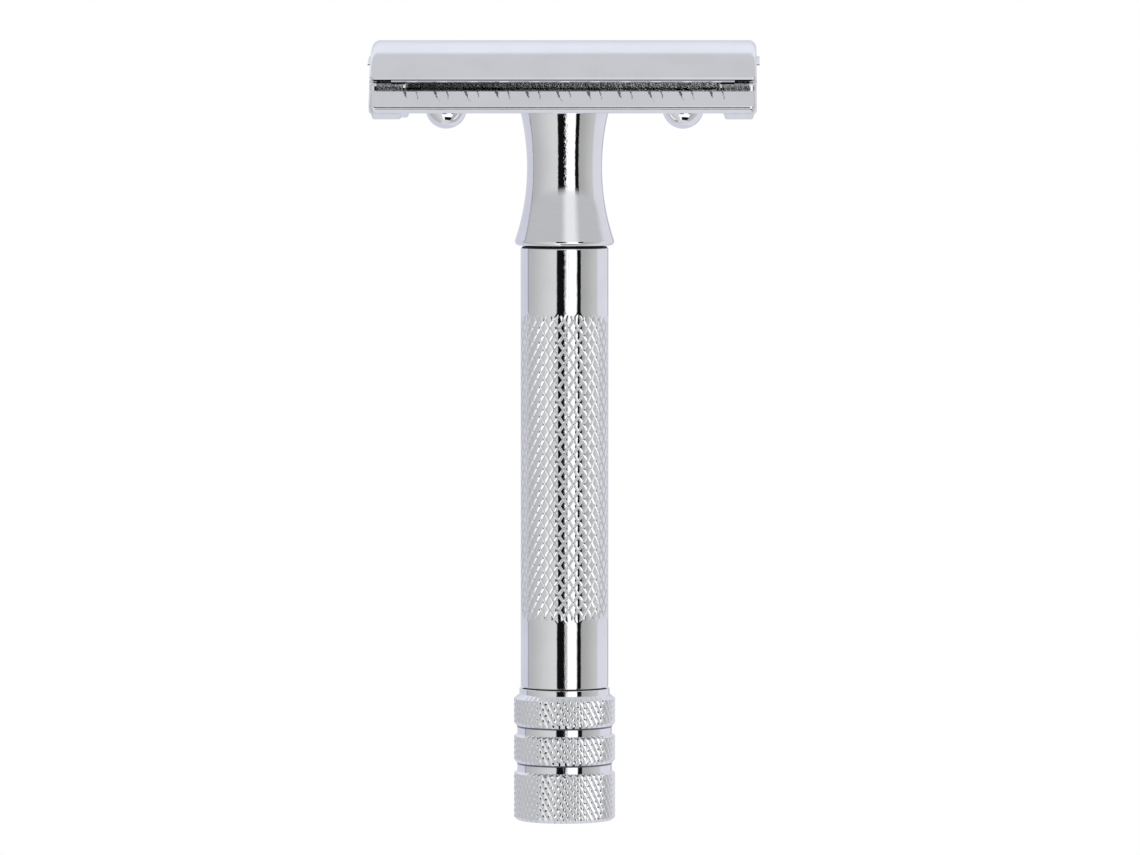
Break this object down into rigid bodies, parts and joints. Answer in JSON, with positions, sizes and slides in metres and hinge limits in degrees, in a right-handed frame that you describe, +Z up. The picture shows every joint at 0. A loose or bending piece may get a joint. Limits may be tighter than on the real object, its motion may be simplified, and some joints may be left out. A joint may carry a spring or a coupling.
{
  "type": "safety razor",
  "caption": "Chromed double-edge safety razor: domed cap and scalloped base plate clamp a bent blade, drawn down by a twist knob at the foot of a knurled handle.",
  "frame": {"origin": "centre of the knob's flat foot", "axes": "+Z up the handle to the cap, +X along the blade, -Y towards the front guard bar"},
  "size_m": [0.0428, 0.0254, 0.0861],
  "materials": {
    "polished_chrome": "bright plated, mirror smooth",
    "knurled_chrome": "bright plated over a diamond knurl",
    "stud_steel": "cut thread",
    "rod_steel": "drawn bar",
    "blade_steel": "ground and honed",
    "nut_brass": "machined",
    "washer_brass": "flat, lightly greased"
  },
  "bodies": {
    "handle": {"base_plate": "polished_chrome", "neck": "polished_chrome", "handle_tube": "knurled_chrome", "thrust_washer": "washer_brass"},
    "knob": {"knob": "knurled_chrome", "draw_rod": "rod_steel", "draw_nut": "nut_brass", "knob_cross_pin": "rod_steel"},
    "blade": {"razor_blade": "blade_steel"},
    "cap": {"top_cap": "polished_chrome", "cap_stud": "stud_steel", "locating_pin_left": "polished_chrome", "locating_pin_right": "polished_chrome"}
  },
  "joints": [
    {"name": "knob_turn", "type": "hinge", "parent": "handle", "child": "knob", "pos_m": [0, 0, 0], "axis": [0, 0, -1], "range_deg": [0, 2880]},
    {"name": "cap_lift", "type": "slide", "parent": "handle", "child": "cap", "axis": [0, 0, 1], "range_m": [0, 0.0064]},
    {"name": "blade_lift", "type": "slide", "parent": "handle", "child": "blade", "axis": [0, 0, 1], "range_m": [0, 0.0032]}
  ],
  "couplings": [
    {"joint": "cap_lift", "follows": "knob_turn", "m_per_rad": 0.00012732},
    {"joint": "blade_lift", "follows": "knob_turn", "m_per_rad": 0.000063662}
  ]
}
